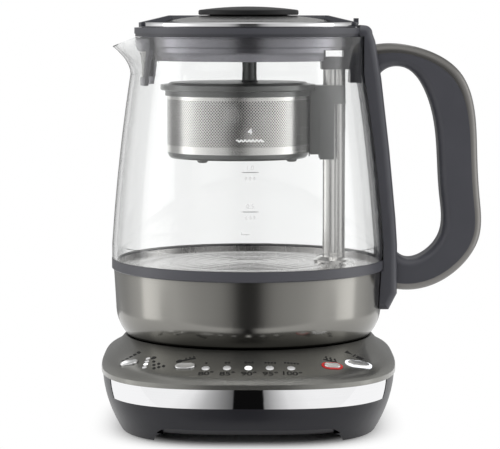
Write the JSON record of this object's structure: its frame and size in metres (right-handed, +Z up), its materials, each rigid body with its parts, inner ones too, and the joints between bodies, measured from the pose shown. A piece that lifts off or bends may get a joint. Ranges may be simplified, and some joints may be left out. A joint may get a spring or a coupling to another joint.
{
  "type": "automatic tea maker",
  "caption": "Glass tea jug with a motor-driven perforated basket, lid and C-shaped handle, standing on a heated power base with sloping push buttons.",
  "frame": {"origin": "the point where the jug's upright axis meets the counter", "axes": "+Z up; -Y to the user, where the push buttons are; -X to the pouring spout; +X to the handle"},
  "size_m": [0.2147, 0.19, 0.2349],
  "materials": {
    "smoked_steel": "warm grey brushed metal under a clear lacquer",
    "housing_charcoal": "charcoal, soft sheen",
    "polished_chrome": "mirror polished",
    "stainless_steel": "fine brushed",
    "button_metal": "bright brushed",
    "black_plastic": "fine matt texture",
    "charcoal_plastic": "satin blue-grey",
    "carrier_plastic": "smooth olive-grey",
    "smoky_plastic": "smoky, smooth",
    "bronze_trim": "bronze-grey metallic",
    "clear_glass": "clear borosilicate",
    "seal_silicone": "satin",
    "black_rubber": "matt",
    "copper_contact": "plated",
    "circuit_board": "solder mask",
    "light_guide": "clear white light guide",
    "ring_light_red": "red light guide",
    "zinc_steel": "zinc plated",
    "element_alloy": "oxidised",
    "magnet_nickel": "nickel plated"
  },
  "bodies": {
    "power_base": {"base_lower_housing": "housing_charcoal", "base_top_panel": "smoked_steel", "base_chrome_band": "polished_chrome", "seat_insert": "black_plastic", "power_connector": "black_plastic", "connector_contacts": "copper_contact", "control_board": "circuit_board", "button_switches": "black_plastic", "temperature_lights": "light_guide", "strength_lights": "light_guide", "keep_warm_ring": "ring_light_red", "start_ring": "light_guide", "rubber_feet": "black_rubber", "base_screws": "zinc_steel", "cord_gland": "black_plastic"},
    "jug_socket": {"jug_socket": "black_plastic"},
    "jug": {"jug_bottom_cover": "black_plastic", "jug_metal_shell": "smoked_steel", "glass_ring": "charcoal_plastic", "glass_gasket": "seal_silicone", "glass_jug": "clear_glass", "heating_plate": "stainless_steel", "heating_element": "element_alloy", "temperature_probe": "stainless_steel", "top_collar": "charcoal_plastic", "handle_strap": "charcoal_plastic", "handle_grip": "charcoal_plastic", "handle_trim": "bronze_trim", "handle_screws": "zinc_steel", "guide_post": "stainless_steel", "post_foot": "stainless_steel", "post_bracket": "smoky_plastic", "lift_motor": "zinc_steel", "lead_screw": "zinc_steel"},
    "basket_carrier": {"basket_carrier": "carrier_plastic", "carrier_magnet": "magnet_nickel", "drive_magnet": "magnet_nickel"},
    "tea_basket": {"basket_rim": "carrier_plastic", "basket_wall": "stainless_steel", "basket_floor": "carrier_plastic", "basket_screen": "stainless_steel"},
    "basket_lid": {"basket_lid": "carrier_plastic", "basket_stem": "carrier_plastic"},
    "lid": {"lid_frame": "charcoal_plastic", "lid_steel_band": "polished_chrome", "lid_dome": "stainless_steel", "lid_knob": "charcoal_plastic", "lid_skirt": "smoky_plastic", "lid_seal": "seal_silicone", "knob_screw": "zinc_steel", "spout_filter_frame": "smoky_plastic", "spout_filter_mesh": "stainless_steel"},
    "strength_button": {"strength_button": "button_metal"},
    "temperature_button": {"temperature_button": "button_metal"},
    "keep_warm_button": {"keep_warm_button": "button_metal"},
    "start_button": {"start_button": "button_metal"}
  },
  "joints": [
    {"name": "jug_lift", "type": "slide", "parent": "power_base", "child": "jug_socket", "axis": [0, 0, 1], "range_m": [0, 0.06]},
    {"name": "jug_swivel", "type": "hinge", "parent": "jug_socket", "child": "jug", "pos_m": [0, 0, 0.05], "axis": [0, 0, 1], "continuous": true},
    {"name": "lid_lift", "type": "slide", "parent": "jug", "child": "lid", "axis": [0, 0, 1], "range_m": [0, 0.045]},
    {"name": "basket_travel", "type": "slide", "parent": "jug", "child": "basket_carrier", "axis": [0, 0, 1], "range_m": [-0.052, 0]},
    {"name": "basket_unhook", "type": "slide", "parent": "basket_carrier", "child": "tea_basket", "axis": [0, 0, 1], "range_m": [0, 0.0038]},
    {"name": "basket_lid_lift", "type": "slide", "parent": "tea_basket", "child": "basket_lid", "axis": [0, 0, 1], "range_m": [0, 0.0035]},
    {"name": "strength_button_press", "type": "slide", "parent": "power_base", "child": "strength_button", "axis": [-0.2621, -0.1798, 0.9482], "range_m": [-0.0006, 0], "stiffness_N_per_m": 400},
    {"name": "temperature_button_press", "type": "slide", "parent": "power_base", "child": "temperature_button", "axis": [-0.1005, -0.2998, 0.9487], "range_m": [-0.0006, 0], "stiffness_N_per_m": 400},
    {"name": "keep_warm_button_press", "type": "slide", "parent": "power_base", "child": "keep_warm_button", "axis": [0.144, -0.2566, 0.9557], "range_m": [-0.0006, 0], "stiffness_N_per_m": 400},
    {"name": "start_button_press", "type": "slide", "parent": "power_base", "child": "start_button", "axis": [0.2201, -0.2, 0.9548], "range_m": [-0.0006, 0], "stiffness_N_per_m": 400}
  ]
}
